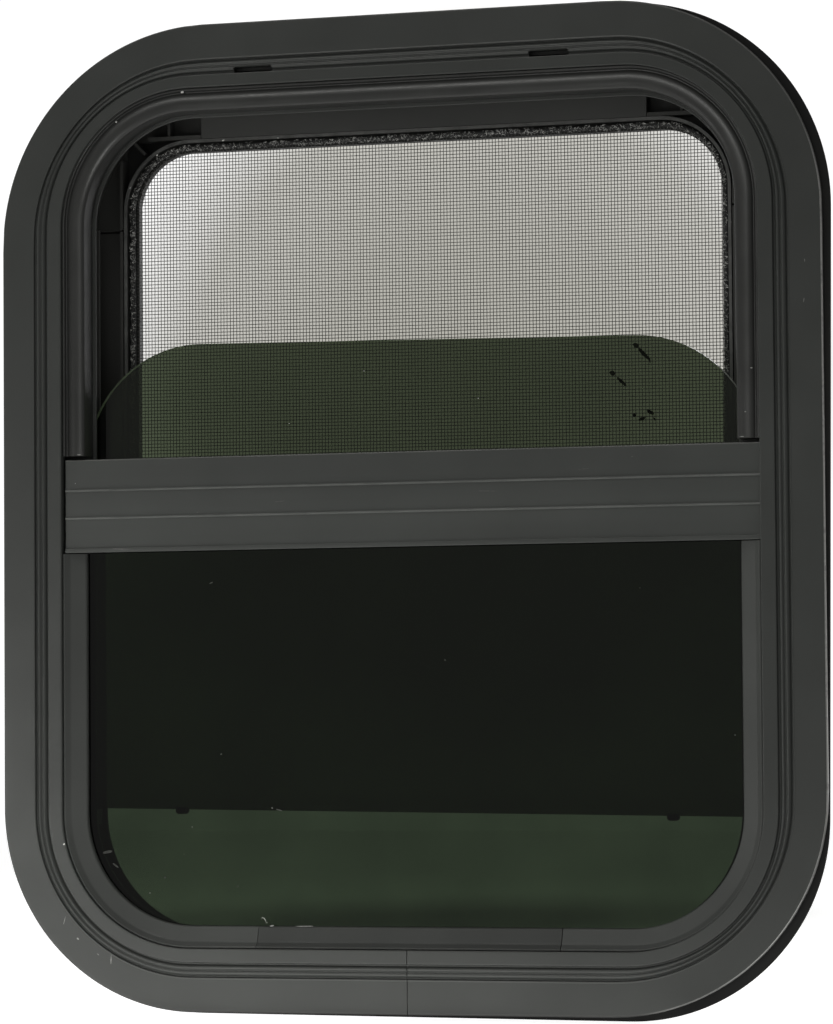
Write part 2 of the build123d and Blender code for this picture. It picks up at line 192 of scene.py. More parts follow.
def screen_mat():
    """Black coated screen section, with a painted highlight along its front rim, broken into patches like rubbed wear.
    """
    m, t, b = new_mat("screen_coat")
    vec = coords(t)
    sep = t.nodes.new("ShaderNodeSeparateXYZ")
    t.links.new(vec, sep.inputs[0])
    # painted highlight: the frontmost face of the section is painted lighter
    front = ramp(t, math_node(t, "MULTIPLY_ADD", sep.outputs[1], 1000.0), [(0.0, 1.0), (1.0, 0.0)])
    front.node.inputs["Fac"].links[0].from_node.inputs[2].default_value = -24.05
    wear = ramp(t, noise(t, vec, 140.0, 4.0, 0.7), [(0.30, 0.35), (0.62, 1.0)])
    rim_highlight = mix(t, wear, (0.0, 0.0, 0.0), front)
    cloud = ramp(t, noise(t, vec, 30.0, 4.0), [(0.3, (0.010, 0.010, 0.0095)), (0.72, (0.019, 0.019, 0.018))])
    tone = mix(t, rim_highlight, cloud, (0.085, 0.086, 0.083))
    fine = specks(t, vec, 330.0, 0.16, 0.10)
    col = mix(t, math_node(t, "MULTIPLY", fine, 0.55), tone, (0.42, 0.42, 0.41))
    t.links.new(col, b.inputs["Base Color"])
    t.links.new(ramp(t, noise(t, vec, 60.0, 4.0), [(0.3, 0.38), (0.7, 0.55)]), b.inputs["Roughness"])
    bump(t, b, noise(t, vec, 1500.0, 3.0, 0.6), 0.4, 0.00003)
    return m


M_SCREEN = screen_mat()


def rim_mat():
    """Edge of the flange, with a painted highlight: bare metal along the right-hand side only, fading upwards."""
    m, t, b = new_mat("rim_painted_highlight")
    vec = coords(t)
    sep = t.nodes.new("ShaderNodeSeparateXYZ")
    t.links.new(vec, sep.inputs[0])
    # painted highlight: only the right-hand edge, less towards the top, is made bright bare metal
    side = ramp(t, math_node(t, "MULTIPLY", sep.outputs[0], 5.0), [(0.55, 0.0), (0.85, 1.0)])
    patchy = ramp(t, noise(t, vec, 90.0, 5.0, 0.7), [(0.30, 0.15), (0.5, 1.0)])
    low = ramp(t, math_node(t, "MULTIPLY", sep.outputs[2], 5.0), [(0.45, 1.0), (0.85, 0.12)])
    painted_highlight = math_node(t, "MULTIPLY", math_node(t, "MULTIPLY", side, patchy), low)
    t.links.new(mix(t, painted_highlight, (0.03, 0.03, 0.029), (0.46, 0.46, 0.45)), b.inputs["Base Color"])
    t.links.new(painted_highlight, b.inputs["Metallic"])
    t.links.new(ramp(t, noise(t, vec, 300.0, 3.0), [(0.3, 0.34), (0.7, 0.5)]), b.inputs["Roughness"])
    return m


M_RIM = rim_mat()


def mill_aluminium():
    m, t, b = new_mat("mill_aluminium")
    vec = coords(t, (1, 40, 40))
    st = noise(t, vec, 30.0, 4.0)
    t.links.new(ramp(t, st, [(0.3, (0.45, 0.45, 0.46)), (0.7, (0.62, 0.62, 0.63))]), b.inputs["Base Color"])
    t.links.new(ramp(t, st, [(0.3, 0.32), (0.7, 0.48)]), b.inputs["Roughness"])
    b.inputs["Metallic"].default_value = 1.0
    return m


M_MILL = mill_aluminium()


def tinted(name, lo, hi, spec):
    """Dark green tinted glass with a faint haze of dust and a ground edge."""
    m, t, b = new_mat(name)
    vec = coords(t)
    g = t.nodes.new("ShaderNodeNewGeometry")
    sep = t.nodes.new("ShaderNodeSeparateXYZ")
    t.links.new(g.outputs["True Normal"], sep.inputs[0])
    face = math_node(t, "GREATER_THAN", math_node(t, "ABSOLUTE", sep.outputs[1]), 0.95)
    body = ramp(t, noise(t, vec, 16.0, 6.0, 0.62), [(0.32, lo), (0.68, hi)])
    t.links.new(mix(t, face, (0.80, 0.84, 0.78), body), b.inputs["Base Color"])
    t.links.new(face, b.inputs["Transmission Weight"])
    rg = ramp(t, noise(t, vec, 14.0, 5.0, 0.65), [(0.4, 0.0), (0.75, 0.02)])
    t.links.new(rg, b.inputs["Roughness"])
    b.inputs["IOR"].default_value = 1.45
    b.inputs["Specular IOR Level"].default_value = spec
    return m


M_GLASS = tinted("tinted_glass", (0.0164, 0.0252, 0.0139), (0.0233, 0.0351, 0.0195), 0.4)
M_SASH = tinted("sash_glass", (0.068, 0.088, 0.053), (0.080, 0.102, 0.062), 0.12)


def thread_mat():
    m, t, b = new_mat("screen_cloth")
    vec = coords(t)
    n = noise(t, vec, 900.0, 2.0)
    t.links.new(ramp(t, n, [(0.3, (0.045, 0.045, 0.042)), (0.7, (0.085, 0.085, 0.080))]), b.inputs["Base Color"])
    t.links.new(ramp(t, noise(t, vec, 300.0), [(0.3, 0.4), (0.7, 0.6)]), b.inputs["Roughness"])
    return m


M_THREAD = thread_mat()


def spline_mat():
    m, t, b = new_mat("spline_rubber")
    vec = coords(t)
    n = noise(t, vec, 700.0, 4.0, 0.7)
    fine = specks(t, vec, 420.0, 0.20, 0.10)
    col = mix(t, math_node(t, "MULTIPLY", fine, 0.35), ramp(t, n, [(0.35, 0.006), (0.7, 0.030)]), (0.3, 0.3, 0.29))
    t.links.new(col, b.inputs["Base Color"])
    t.links.new(ramp(t, n, [(0.3, 0.55), (0.7, 0.8)]), b.inputs["Roughness"])
    bump(t, b, n, 0.8, 0.0004)
    return m


M_SPLINE = spline_mat()


def mottled(name, dark, light, scale, rough=0.7, spec=0.5):
    """Dull loose matter, patchy from dark to light."""
    m, t, b = new_mat(name)
    n = noise(t, coords(t), scale, 3.0, 0.6)
    t.links.new(ramp(t, n, [(0.36, dark), (0.62, light)]), b.inputs["Base Color"])
    t.links.new(ramp(t, n, [(0.3, rough - 0.1), (0.7, rough + 0.1)]), b.inputs["Roughness"])
    b.inputs["Specular IOR Level"].default_value = spec
    return m


M_FRINGE = mottled("cut_threads", (0.020, 0.020, 0.019), (0.50, 0.50, 0.48), 520.0)
M_DUST = mottled("dust", (0.34, 0.34, 0.33), (0.62, 0.62, 0.60), 900.0, 0.8)
M_SCUFF = mottled("scuff", (0.050, 0.050, 0.048), (0.11, 0.11, 0.105), 700.0)


M_SMEAR = mottled("smear", (0.0012, 0.0016, 0.001), (0.005, 0.006, 0.004), 420.0, 0.8, 0.06)
M_SPECK = mottled("specks", (0.035, 0.038, 0.032), (0.10, 0.106, 0.094), 700.0, 0.8)
M_DIRT = mottled("dried_dirt", (0.010, 0.011, 0.009), (0.032, 0.034, 0.029), 500.0)
# light flecks: real rubbed marks, also used for painted highlights on the bulb's cut ends
M_MARKS_AND_HIGHLIGHTS = mottled("rubbed_marks_and_highlights", (0.13, 0.13, 0.125), (0.26, 0.26, 0.25), 700.0)


def pile_mat():
    m, t, b = new_mat("pile_fabric")
    vec = coords(t, (1, 1, 0.1))
    n = noise(t, vec, 1400.0, 4.0, 0.7)
    t.links.new(ramp(t, n, [(0.3, 0.008), (0.7, 0.035)]), b.inputs["Base Color"])
    t.links.new(ramp(t, n, [(0.3, 0.75), (0.7, 0.95)]), b.inputs["Roughness"])
    bump(t, b, n, 0.9, 0.0005)
    return m


M_PILE = pile_mat()


# ------------------------------------------------------------------ mesh helpers
def make(name, verts, faces, mat, body, angle=32.0, replaces=()):
    me = bpy.data.meshes.new(name)
    me.from_pydata([(x * MM, y * MM, z * MM) for x, y, z in verts], [], faces)
    me.update()
    bm = bmesh.new()
    bm.from_mesh(me)
    bmesh.ops.recalc_face_normals(bm, faces=bm.faces)
    bm.to_mesh(me)
    bm.free()
    me.materials.append(mat)
    me.shade_smooth()
    me.set_sharp_from_angle(angle=math.radians(angle))
    o = bpy.data.objects.new(name, me)
    bpy.context.collection.objects.link(o)
    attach(o, body)
    if replaces:
        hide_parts(*replaces)
    return o


def rounded(points, n=5):
    """Closed polygon with filleted corners: points are (u, v, radius)."""
    out = []
    k = len(points)
    for i in range(k):
        u, v, r = points[i]
        p, q, w = Vector(points[i - 1][:2]), Vector((u, v)), Vector(points[(i + 1) % k][:2])
        a, b = (p - q), (w - q)
        la, lb = a.length, b.length
        if r <= 0 or la < 1e-6 or lb < 1e-6:
            out.append((u, v))
            continue
        a, b = a / la, b / lb
        half = a.angle(b) / 2
        cut = min(r / math.tan(half) if half > 1e-3 else 0.0, la * 0.48, lb * 0.48)
        rad = cut * math.tan(half)
        bis = (a + b)
        if bis.length < 1e-6:
            out.append((u, v))
            continue
        c = q + bis.normalized() * (rad / math.sin(half))
        s, e = q + a * cut, q + b * cut
        a0 = math.atan2(s.y - c.y, s.x - c.x)
        a1 = math.atan2(e.y - c.y, e.x - c.x)
        d = (a1 - a0 + math.pi) % (2 * math.pi) - math.pi
        for j in range(n + 1):
            t = a0 + d * j / n
            out.append((c.x + rad * math.cos(t), c.y + rad * math.sin(t)))
    return out


def ring_stations(nc=36, ns=24):
    """Points of the frame outline with outward normals, once round from the bottom."""
    st = []
    xa, za = HX - CR, HZ - CR

    def line(p, q, nrm):
        for i in range(ns):
            f = i / ns
            st.append((p[0] + (q[0] - p[0]) * f, p[1] + (q[1] - p[1]) * f, *nrm))

    def arc(cx, cz, r, a0):
        for i in range(nc):
            a = math.radians(a0 + 90.0 * i / nc)
            st.append((cx + r * math.cos(a), cz + r * math.sin(a), math.cos(a), math.sin(a)))

    line((-xa, -HZ), (xa, -HZ), (0, -1))
    arc(xa, -za, CR, -90)
    line((HX, -za), (HX, za), (1, 0))
    arc(xa, za, CR, 0)
    line((xa, HZ), (-xa, HZ), (0, 1))
    arc(-xa, za, CR, 90)
    line((-HX, za), (-HX, -za), (-1, 0))
    arc(-xa, -za, CR, 180)
    return st


def outline_stations(points, n=40):
    """Points of a closed outline with rounded corners and their outward normals; points run anticlockwise as (x, z, radius)."""
    ring = rounded(points, n)
    st = []
    for i, (x, z) in enumerate(ring):
        p, q = ring[i - 1], ring[(i + 1) % len(ring)]
        u, w = (x - p[0], z - p[1]), (q[0] - x, q[1] - z)
        lu, lw = math.hypot(*u), math.hypot(*w)
        t = (u[0] / lu + w[0] / lw, u[1] / lu + w[1] / lw)
        lt = math.hypot(*t)
        st.append((x, z, t[1] / lt, -t[0] / lt))
    return st


def edge_inset(x, z, nx, nz):
    """How far the flange edge lies inside the frame outline at a station."""
    r = EDGE_R[(0 if z < 0 else 1) if x > 0 else (2 if z > 0 else 3)]
    d = 0.0
    for _ in range(40):
        qx, qz = abs(x - d * nx) - (HX - r), abs(z - d * nz) - (HZ - r)
        d += max(0.0, math.hypot(max(qx, 0.0), max(qz, 0.0)) + min(max(qx, qz), 0.0) - r)
    return d


def drawn_in(st, section):
    """Sweeps the frame section round the outline; at the bends the flange and ridges lie further in, and along the foot the middle web is shorter."""
    verts = []
    for x, z, nx, nz in st:
        e = edge_inset(x, z, nx, nz)
        foot = max(0.0, -nz) ** 3
        lean = 0.6 * max(0.0, nz) - 0.3 * max(0.0, -nx) - 0.6 * max(0.0, nx)
        for s, y in section:
            if y < -5.5 and s < 24.0:
                ds = e * (1.0 - 0.28 * min(s, 16.6) / 16.6 - (0.47 * min(1.0, (s - 16.6) / 6.0) if s > 16.6 else 0.0))
                ds += lean if s > 15.0 else 0.0
            elif y < -3.0:
                ds = e * 0.25 * (1.0 if s < 29.0 else 0.4)
            elif s > 40.5:
                ds = -2.3 * foot
            else:
                ds = 0.0
            verts.append((x - (s + ds) * nx, y, z - (s + ds) * nz))
    return verts


def sweep(stations, section, closed):
    """Sweeps a closed (inset, depth) section along stations."""
    m = len(section)
    verts, faces = [], []
    for x, z, nx, nz in stations:
        for s, y in section:
            verts.append((x - s * nx, y, z - s * nz))
    n = len(stations)
    for i in range(n if closed else n - 1):
        a, b = i * m, ((i + 1) % n) * m
        for j in range(m):
            k = (j + 1) % m
            faces.append((a + j, a + k, b + k, b + j))
    if not closed:
        faces.append(tuple(range(m - 1, -1, -1)))
        faces.append(tuple(range((n - 1) * m, n * m)))
    return verts, faces


def cut(obj, boxes):
    """Cuts boxes (x0, x1, y0, y1, z0, z1, end radius) out of an object."""
    for x0, x1, y0, y1, z0, z1, r in boxes:
        outline = rounded([(x0, z0, r), (x1, z0, r), (x1, z1, r), (x0, z1, r)], 6) if r else [(x0, z0), (x1, z0), (x1, z1), (x0, z1)]
        m = len(outline)
        v = [(x * MM, y0 * MM, z * MM) for x, z in outline] + [(x * MM, y1 * MM, z * MM) for x, z in outline]
        f = [tuple(range(m)), tuple(range(2 * m - 1, m - 1, -1))] + [(j, (j + 1) % m, m + (j + 1) % m, m + j) for j in range(m)]
        me = bpy.data.meshes.new("cutter")
        me.from_pydata(v, [], f)
        bm = bmesh.new()
        bm.from_mesh(me)
        bmesh.ops.recalc_face_normals(bm, faces=bm.faces)
        bm.to_mesh(me)
        bm.free()
        c = bpy.data.objects.new("cutter", me)
        bpy.context.collection.objects.link(c)
        mod = obj.modifiers.new("cut", "BOOLEAN")
        mod.operation = "DIFFERENCE"
        mod.solver = "EXACT"
        mod.object = c
        bpy.context.view_layer.update()
        dg = bpy.context.evaluated_depsgraph_get()
        new = bpy.data.meshes.new_from_object(obj.evaluated_get(dg))
        obj.modifiers.remove(mod)
        old = obj.data
        obj.data = new
        bpy.data.meshes.remove(old)
        bpy.data.objects.remove(c)
        bpy.data.meshes.remove(me)
    obj.data.shade_smooth()
    obj.data.set_sharp_from_angle(angle=math.radians(32))


def paint(name, mat, bevel=0.0):
    """Gives a carried-over CAD node its material and soft edges."""
    o = nodes[name]
    o.data.materials.clear()
    o.data.materials.append(mat)
    if bevel:
        b = o.modifiers.new("edges", "BEVEL")
        b.width = bevel * MM
        b.segments = 2
        b.limit_method = "ANGLE"
        b.angle_limit = math.radians(50)
    return o


# ------------------------------------------------------------------ outer frame
FRAME_SECTION = rounded([
    (0.0, -6.0, 0.25), (0.0, -8.0, 0.9), (1.4, -8.0, 0), (14.9, -8.0, 0), (15.4, -8.0, 0.3), (15.85, -8.14, 0.2), (16.15, -8.0, 0.2), (16.3, -7.0, 0.25), (16.95, -7.0, 0.3),
    (17.25, -7.6, 0.3), (18.35, -8.95, 0.75), (19.6, -7.6, 0.35), (20.75, -8.95, 0.75), (21.8, -7.6, 0.3),
    (22.1, -7.0, 0.25), (22.85, -7.0, 0.25), (23.15, -8.4, 0.4), (23.9, -8.4, 0), (28.5, -8.4, 0), (29.5, -8.4, 0.7), (29.5, -3.4, 0.3), (28.0, -3.4, 0.2),
    (28.0, -6.0, 0.2), (22.0, -6.0, 0.3), (22.0, 5.0, 0.3), (42.0, 5.0, 0.4), (42.0, 6.5, 0.4), (22.0, 6.5, 0.3),
    (22.0, 34.0, 0.3), (35.5, 34.0, 0.4), (35.5, 36.0, 0.5), (20.0, 36.0, 0.6), (20.0, -6.0, 0.3)], 4)
stations = ring_stations()
v, f = sweep(stations, FRAME_SECTION, True)
v = drawn_in(stations, FRAME_SECTION)
o_frame = make("frame_extrusion", v, f, M_FRAME, "frame", 32, ["outer_frame"])
o_frame.data.materials.append(M_RIM)
m = len(FRAME_SECTION)
RIM = [j for j in range(m) if max(FRAME_SECTION[j][0], FRAME_SECTION[(j + 1) % m][0]) < 0.75 and max(FRAME_SECTION[j][1], FRAME_SECTION[(j + 1) % m][1]) < -5.9]
for p in o_frame.data.polygons:
    if p.index % m in RIM:
        p.material_index = 1
cut(o_frame, [
    (-81.0, -62.0, -10.0, -3.0, HZ - 23.8, HZ - 21.0, 1.0),
    (62.0, 81.0, -10.0, -3.0, HZ - 23.8, HZ - 21.0, 1.0),
    (0.62, 0.98, -10.0, -7.2, -HZ - 1, -HZ + 31, 0)])

# ------------------------------------------------------------------ wall seal
SEAL_SECTION = rounded([(0.02, -5.98, 0.6), (0.5, -3.0, 2.0), (2.0, 0.0, 0.9), (15.4, 0.0, 0.6), (15.4, -5.98, 0.4)], 3)
v, f = sweep(outline_stations(SEAL_PTS), SEAL_SECTION, True)
make("seal_foam", v, f, M_SEAL, "frame", 40, ["wall_seal"])

# ------------------------------------------------------------------ upper bulb seal
def open_path(s_mid, z_end, top=True, nc=30):
    """Stations on the flange outline from the left jamb over the top (or under the bottom) to the right jamb."""
    st = []
    xa, za = HX - CR, HZ - CR
    g = 1 if top else -1
    for i in range(5):
        st.append((-HX, z_end + (g * za - z_end) * i / 5, -1, 0))
    for i in range(nc):
        a = math.radians(180 - 90.0 * i / nc)
        st.append((-xa + CR * math.cos(a), g * (za + CR * math.sin(a)), math.cos(a), g * math.sin(a)))
    for i in range(6):
        st.append((-xa + 2 * xa * i / 6, g * HZ, 0, g))
    for i in range(nc):
        a = math.radians(90 - 90.0 * i / nc)
        st.append((xa + CR * math.cos(a), g * (za + CR * math.sin(a)), math.cos(a), g * math.sin(a)))
    for i in range(6):
        st.append((HX, g * za + (z_end - g * za) * i / 5, 1, 0))
    return st


BULB_FRONT = [(36.0 + 4.4 * math.sin(math.radians(a)), -7.45 + 2.3 * (1.0 - math.cos(math.radians(a))), 0.0) for a in range(-75, 91, 11)]
BULB_SECTION = rounded([
    (29.6, 4.9, 0.2), (29.6, -6.9, 0.4), (30.7, -6.9, 0.5), (31.3, -5.7, 0.3)] + BULB_FRONT + [(40.4, 4.9, 0.3)], 6)
v, f = sweep(open_path(34.9, RAIL_Z1 + 1.8), BULB_SECTION, False)
o_bulb = make("upper_bulb", v, f, M_BULB, "frame", 40, ["bulb_seal"])

# ------------------------------------------------------------------ glazing bead
BEAD_SECTION = rounded([(29.65, -0.1, 0), (29.65, -7.1, 0.4), (30.5, -7.2, 0.5), (32.6, -4.9, 3.0), (38.6, -2.84, 0), (39.3, -2.6, 0.5), (39.8, -2.0, 0.3), (39.8, -0.1, 0.1)], 6)


def bead_piece(name, node, st, mat=M_BEAD):
    v, f = sweep(st, BEAD_SECTION, False)
    make(name, v, f, mat, "frame", 35, [node])


low = open_path(34.8, RAIL_Z0 - 0.4, False, 26)
XA = HX - CR
left = [s for s in low if s[0] <= -XA + 0.01 or (s[2] == 0 and s[0] < -72.8)]
left = [s for s in left if not (s[2] == 0 and s[0] > -XA + 0.01)] + [(-72.85, -HZ, 0, -1)]
right = [(73.35, -HZ, 0, -1)] + [s for s in low if s[0] >= XA - 0.01]
bead_piece("bead_left", "glazing_bead_left", left)
bead_piece("bead_right", "glazing_bead_right", right)
bead_piece("bead_insert", "glazing_bead_bottom", [(-72.64, -HZ, 0, -1), (0.0, -HZ, 0, -1), (73.0, -HZ, 0, -1)], M_INSERT)

# ------------------------------------------------------------------ meeting rail
RAIL_SECTION = rounded([
    (-6.0, -13.6, 0.2), (-6.65, -14.0, 0.2), (-6.65, -16.0, 0.4), (-4.2, -16.0, 0.2), (-4.2, -3.0, 0.2), (4.2, -3.0, 0.2),
    (4.2, -16.0, 0.1), (4.9, -16.0, 0.1), (4.9, 27.7, 0.5), (-6.0, 27.7, 0.9), (-6.0, 26.3, 0),
    (-6.0, 13.9, 0), (-6.0, 13.7, 0.1), (-6.75, 13.5, 0.25), (-6.75, 12.8, 0.25), (-6.0, 12.6, 0.1), (-6.0, 12.4, 0),
    (-6.0, 0.9, 0), (-6.0, 0.7, 0.1), (-6.75, 0.5, 0.25), (-6.75, -0.2, 0.25), (-6.0, -0.4, 0.1), (-6.0, -0.6, 0), (-6.0, -13.2, 0)], 4)
m = len(RAIL_SECTION)
v = [(RAIL_X0, y, z) for y, z in RAIL_SECTION] + [(RAIL_X1, y, z) for y, z in RAIL_SECTION]
f = [tuple(range(m)), tuple(range(2 * m - 1, m - 1, -1))] + [(j, (j + 1) % m, m + (j + 1) % m, m + j) for j in range(m)]
make("rail_extrusion", v, f, M_RAIL, "frame", 32, ["meeting_rail"])

# ------------------------------------------------------------------ screen
def screen_stations(nc=24):
    """Outline of the screen opening with outward normals, anticlockwise from the lower left."""
    st = []

    def arc(cx, cz, r, a0):
        for i in range(nc + 1):
            a = math.radians(a0 + 90.0 * i / nc)
            st.append((cx + r * math.cos(a), cz + r * math.sin(a), math.cos(a), math.sin(a)))

    arc(SCREEN_X - 4, SCREEN_Z0 + 4, 4.0, -90)
    arc(SCREEN_X - SCREEN_R, SCREEN_Z1 - SCREEN_R, SCREEN_R, 0)
    arc(-SCREEN_X + SCREEN_R, SCREEN_Z1 - SCREEN_R, SCREEN_R, 90)
    arc(-SCREEN_X + 4, SCREEN_Z0 + 4, 4.0, 180)
    return st


SPLINE_SECTION = [(-2.15 + 1.25 * math.cos(a), 27.7 + 1.3 * math.sin(a)) for a in [math.radians(d) for d in range(0, 360, 30)]]
v, f = sweep(screen_stations(), SPLINE_SECTION, True)
make("spline_cord", v, f, M_SPLINE, "frame", 60, ["screen_spline"])

PITCH, TH, AMP = 1.5875, 0.35, 0.15


def clip(c, other):
    """Half range of a thread inside the rounded screen outline grown into the groove."""
    k = 1.0
    x_max, z0, z1, r = SCREEN_X + k, SCREEN_Z0 - k, SCREEN_Z1 + k, SCREEN_R + k
    if other == "x":
        ax = abs(c)
        if ax <= x_max - r:
            return z0, z1
        d = ax - (x_max - r)
        return z0, z1 - r + math.sqrt(max(0.0, r * r - d * d))
    if c <= z1 - r:
        return -x_max, x_max
    d = c - (z1 - r)
    w = x_max - r + math.sqrt(max(0.0, r * r - d * d))
    return -w, w


def cloth():
    """Plain weave: straight weft threads with the warp passing over and under them."""
    rnd = random.Random(7)
    verts, faces = [], []
    h = TH / 2
    yc = Y_MESH + 0.4

    def thread(c, stops, vertical, sag):
        wav, amp = rnd.uniform(0, 6.28), rnd.uniform(0.02, 0.08)
        prev = None
        for t, y in stops:
            w = c + amp * math.sin(t * 0.045 + wav)
            base = len(verts)
            for du, dy in ((-h, 0), (0, -h * 0.8), (h, 0), (0, h * 0.8)):
                verts.append((w + du, yc + y + sag + dy, t) if vertical else (t, yc + y + sag + dy, w + du))
            if prev is not None:
                for q in range(4):
                    p = (q + 1) % 4
                    faces.append((prev + q, prev + p, base + p, base + q))
            prev = base

    for i in range(-91, 92):
        c = i * PITCH
        if abs(c) < SCREEN_X + 0.8:
            lo, hi = clip(c, "x")
            k0, k1 = math.ceil(lo / PITCH), math.floor(hi / PITCH)
            mid = [(k * PITCH, AMP * (1 if (i + k) % 2 == 0 else -1)) for k in range(k0, k1 + 1)]
            thread(c, [(lo, 0.0)] + mid + [(hi, 0.0)], True, 0.0)
    for j in range(0, 130):
        c = j * PITCH
        if SCREEN_Z0 - 0.8 < c < SCREEN_Z1 + 0.8:
            lo, hi = clip(c, "z")
            thread(c, [(lo + (hi - lo) * k / 24, 0.0) for k in range(25)], False, 0.0)
    return make("insect_cloth", verts, faces, M_THREAD, "frame", 80, ["screen_mesh"])


o_cloth = cloth()


def fringe(count=3400):
    """Cut thread ends standing in the spline groove round the cloth."""
    rnd = random.Random(21)
    st = screen_stations(40)
    seg = [math.hypot(st[(i + 1) % len(st)][0] - st[i][0], st[(i + 1) % len(st)][1] - st[i][1]) for i in range(len(st))]
    total = sum(seg)
    verts, faces = [], []
    for _ in range(count):
        d = rnd.uniform(0, total)
        i = 0
        while d > seg[i]:
            d -= seg[i]
            i += 1
        p, q = st[i], st[(i + 1) % len(st)]
        f = d / max(seg[i], 1e-9)
        x, z = p[0] + (q[0] - p[0]) * f, p[1] + (q[1] - p[1]) * f
        nx, nz = p[2] + (q[2] - p[2]) * f, p[3] + (q[3] - p[3]) * f
        nl = math.hypot(nx, nz)
        nx, nz = nx / nl, nz / nl
        k = rnd.uniform(0.35, 3.1)
        a = rnd.gauss(0.0, 0.75) + (math.pi / 2 if rnd.random() < 0.45 else 0.0)
        ln = rnd.uniform(0.5, 1.3)
        un, ut = math.cos(a) * ln / 2, math.sin(a) * ln / 2
        un = max(-k + 0.05, min(un, 3.3 - k))
        y = rnd.uniform(25.3, 26.4)
        dy = rnd.uniform(-0.35, 0.35)
        w = rnd.uniform(0.07, 0.15)
        ends = []
        for g in (-1, 1):
            ends.append((x + (k + g * un) * nx - g * ut * nz, y + g * dy, z + (k + g * un) * nz + g * ut * nx))
        base = len(verts)
        ax, ay, az = (ends[1][0] - ends[0][0], ends[1][1] - ends[0][1], ends[1][2] - ends[0][2])
        al = math.hypot(ax, az) or 1e-6
        sx, sz = -az / al * w, ax / al * w
        for ex, ey, ez in ends:
            verts += [(ex + sx, ey, ez + sz), (ex, ey - w, ez), (ex - sx, ey, ez - sz), (ex, ey + w, ez)]
        for j in range(4):
            m = (j + 1) % 4
            faces.append((base + j, base + m, base + 4 + m, base + 4 + j))
        faces.append((base + 3, base + 2, base + 1, base))
        faces.append((base + 4, base + 5, base + 6, base + 7))
    return make("cloth_fringe", verts, faces, M_FRINGE, "frame", 80)


o_fringe = fringe()

# ------------------------------------------------------------------ carried-over CAD nodes
paint("fixed_glass", M_GLASS)
paint("sash_glass", M_SASH, 1.2)
paint("screen_frame", M_SCREEN, 0.3)
paint("head_stop", M_HEAD, 0.4)
for n in ("jamb_track_left", "jamb_track_right", "corner_block_left", "corner_block_right"):
    paint(n, M_TRACK, 0.3)
for n in ("sash_foot_left", "sash_foot_right"):
    paint(n, M_FOOT, 0.3)
paint("rail_gasket", M_SEAL, 0.3)
paint("rail_pile", M_PILE, 0.3)
paint("glazing_tape", M_SEAL)
paint("setting_block_left", M_SEAL, 0.4)
paint("setting_block_right", M_SEAL, 0.4)
paint("frame_splice", M_MILL, 0.3)

# ------------------------------------------------------------------ dust, lint, marks and painted highlights
def flakes(name, mat, body, items, seed, thick=0.08):
    """Small closed scales lying on faces that look outward: items are (x, y, z, length, width, angle)."""
    verts, faces = [], []
    for x, y, z, ln, wd, ang in items:
        n = 8
        c, s = math.cos(math.radians(ang)), math.sin(math.radians(ang))
        base = len(verts)
        for dy in (0.0, -thick):
            grow = 1.0 if dy == 0.0 else 0.82
            shape = random.Random(seed * 1000 + int(abs(x * 31 + z * 17)))
            for j in range(n):
                a = 2 * math.pi * j / n
                r = shape.uniform(0.72, 1.0) * grow
                u, w = ln / 2 * r * math.cos(a), wd / 2 * r * math.sin(a)
                verts.append((x + u * c - w * s, y + dy, z + u * s + w * c))
        faces.append(tuple(range(base + n - 1, base - 1, -1)))
        faces.append(tuple(range(base + n, base + 2 * n)))
        for j in range(n):
            m = (j + 1) % n
            faces.append((base + j, base + m, base + n + m, base + n + j))
    return make(name, verts, faces, mat, body, 50)


flakes("dust_on_frame", M_DUST, "frame", [
    (-167.2, -8.4, -152.3, 1.3, 0.9, 20), (-98.0, 23.95, 179.6, 1.5, 1.0, 10), (-70.4, 23.95, 179.3, 0.9, 0.7, 0),
    (-145.3, 23.95, 158.9, 1.2, 0.9, 60), (-131.5, 23.95, 174.0, 1.3, 0.9, 40), (-145.1, 23.95, 90.9, 0.7, 0.6, 0)], 3)
flakes("dust_on_bulb", M_DUST, "frame", [
    (-106.9, -6.9, 198.8, 1.7, 1.2, 15), (-140.1, -6.9, 186.3, 1.1, 0.9, 30)], 4)
flakes("dust_on_glass", M_SPECK, "frame", [
    (-106.4, 0.0, -144.5, 0.7, 0.6, 0), (-91.8, 0.0, -110.7, 1.0, 0.8, 30), (-110.4, 0.0, -157.1, 0.6, 0.5, 0),
    (-127.5, 0.0, -175.3, 1.0, 0.7, 40), (17.6, 0.0, -68.2, 0.9, 0.8, 0), (110.1, 0.0, -36.7, 0.7, 0.6, 0),
    (153.5, 0.0, -103.4, 0.9, 0.7, 0), (-96.4, 0.0, -31.0, 2.6, 0.4, 25), (-66.8, 0.0, -135.8, 1.1, 0.8, -50)], 5)
flakes("dirt_on_glass", M_DIRT, "frame", [
    (-148.6, 0.0, -156.2, 6.0, 1.6, 10), (-144.5, 0.0, -162.6, 4.0, 1.0, -35), (-63.5, 0.0, -136.6, 4.0, 0.8, -15),
    (-120.0, 0.0, -168.0, 1.4, 0.8, 0), (-84.0, 0.0, -172.0, 1.2, 0.7, 20)], 11, 0.04)
flakes("lint_line_on_bead", M_MARKS_AND_HIGHLIGHTS, "frame", [
    (-50.5, -2.75, -190.1, 12.0, 0.4, 1), (-66.2, -2.9, -190.0, 3.0, 0.7, 12)], 12, 0.1)
